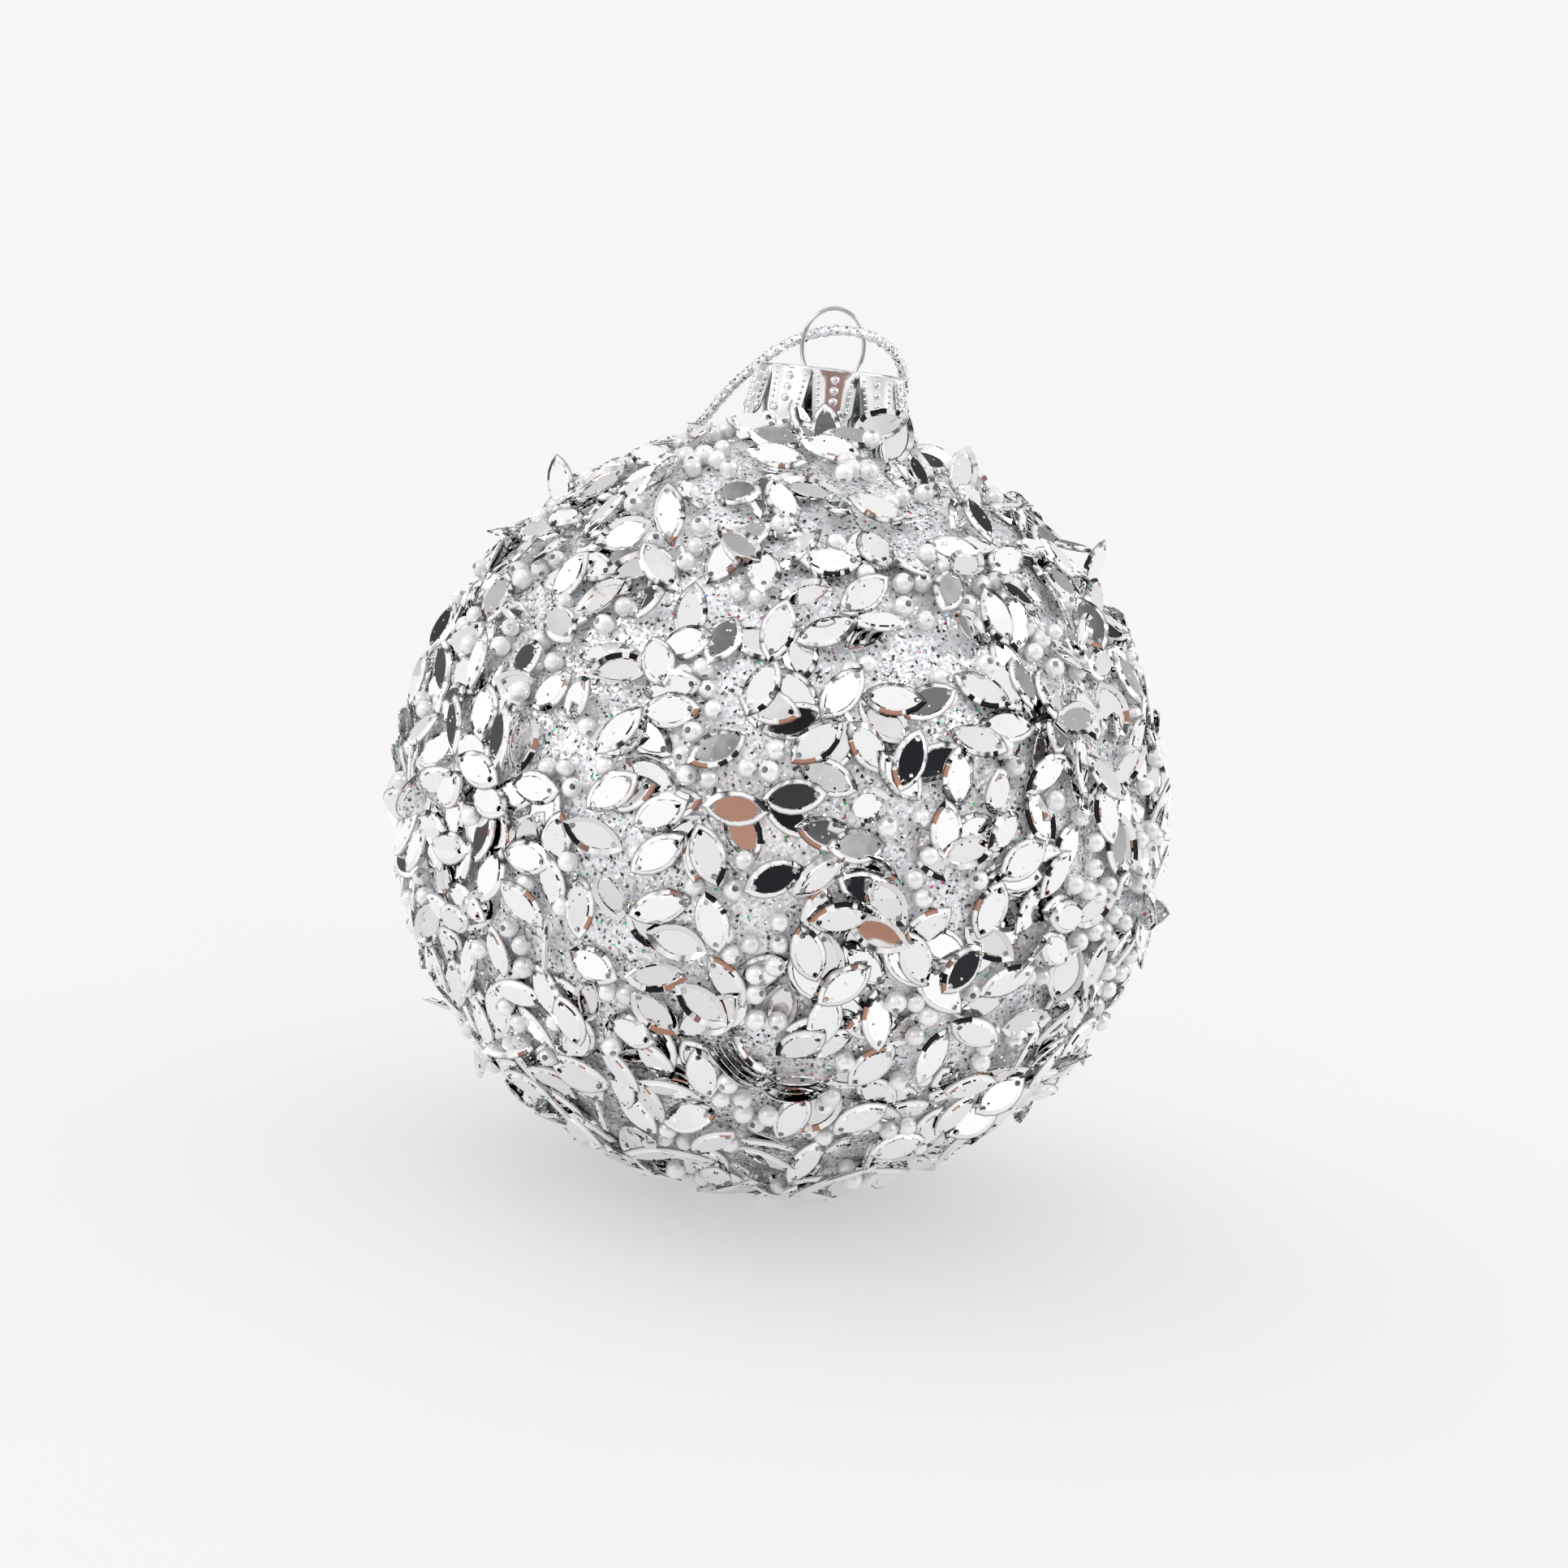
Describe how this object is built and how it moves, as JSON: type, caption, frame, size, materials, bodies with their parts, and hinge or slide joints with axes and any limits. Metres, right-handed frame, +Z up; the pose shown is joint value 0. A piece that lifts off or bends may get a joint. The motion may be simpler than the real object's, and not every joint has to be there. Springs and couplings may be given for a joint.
{
  "type": "glass ball ornament",
  "caption": "Hanging glass ball coated in silver glitter, mirror sequins and pearls, with a crown cap, wire ring and metallic cord loop.",
  "frame": {"origin": "the point that the ball stands on: the flat face of the sequin under the middle of the ball", "axes": "+Z up along the neck through the cap and the wire ring, -Y towards the viewer who sees the wire ring face on, +X to that viewer's right"},
  "size_m": [0.1098, 0.1107, 0.1223],
  "materials": {
    "clear_glass": "thin blown clear glass",
    "silver_glitter": "fine silver glitter in clear glue",
    "cap_silver": "bright silver plated thin sheet",
    "steel_wire": "drawn spring wire",
    "metallic_cord": "two-ply cord wrapped in silver tinsel",
    "mirror_film": "mirror-silvered pressed film",
    "pearl_white": "pearlescent white lacquer"
  },
  "bodies": {
    "ball": {"foot_sequin_01": "mirror_film", "foot_sequin_02": "mirror_film", "foot_sequin_03": "mirror_film", "foot_sequin_04": "mirror_film", "foot_sequin_05": "mirror_film", "foot_sequin_06": "mirror_film", "glass_ball": "clear_glass", "glitter_coat": "silver_glitter", "pearl_01": "pearl_white", "pearl_02": "pearl_white", "pearl_03": "pearl_white", "pearl_04": "pearl_white", "pearl_05": "pearl_white", "pearl_06": "pearl_white", "pearl_07": "pearl_white", "pearl_08": "pearl_white", "pearl_09": "pearl_white", "pearl_10": "pearl_white", "pearl_11": "pearl_white", "pearl_12": "pearl_white", "sequin_01": "mirror_film", "sequin_02": "mirror_film", "sequin_03": "mirror_film", "sequin_04": "mirror_film", "sequin_05": "mirror_film", "sequin_06": "mirror_film", "sequin_07": "mirror_film", "sequin_08": "mirror_film", "sequin_09": "mirror_film", "sequin_10": "mirror_film", "sequin_11": "mirror_film", "sequin_12": "mirror_film", "sequin_13": "mirror_film", "sequin_14": "mirror_film", "sequin_15": "mirror_film", "sequin_16": "mirror_film", "sequin_17": "mirror_film", "sequin_18": "mirror_film", "sequin_19": "mirror_film", "sequin_20": "mirror_film", "sequin_21": "mirror_film", "sequin_22": "mirror_film", "sequin_23": "mirror_film", "sequin_24": "mirror_film"},
    "cap": {"crown_cap": "cap_silver"},
    "hanger": {"hanger_wire": "steel_wire", "hanging_cord": "metallic_cord", "cord_knot": "metallic_cord"}
  },
  "joints": [
    {"name": "cap_lift", "type": "slide", "parent": "ball", "child": "cap", "axis": [0, 0, 1], "range_m": [0, 0.02]},
    {"name": "hanger_slide", "type": "slide", "parent": "cap", "child": "hanger", "axis": [0, 0, 1], "range_m": [0, 0.003]}
  ]
}
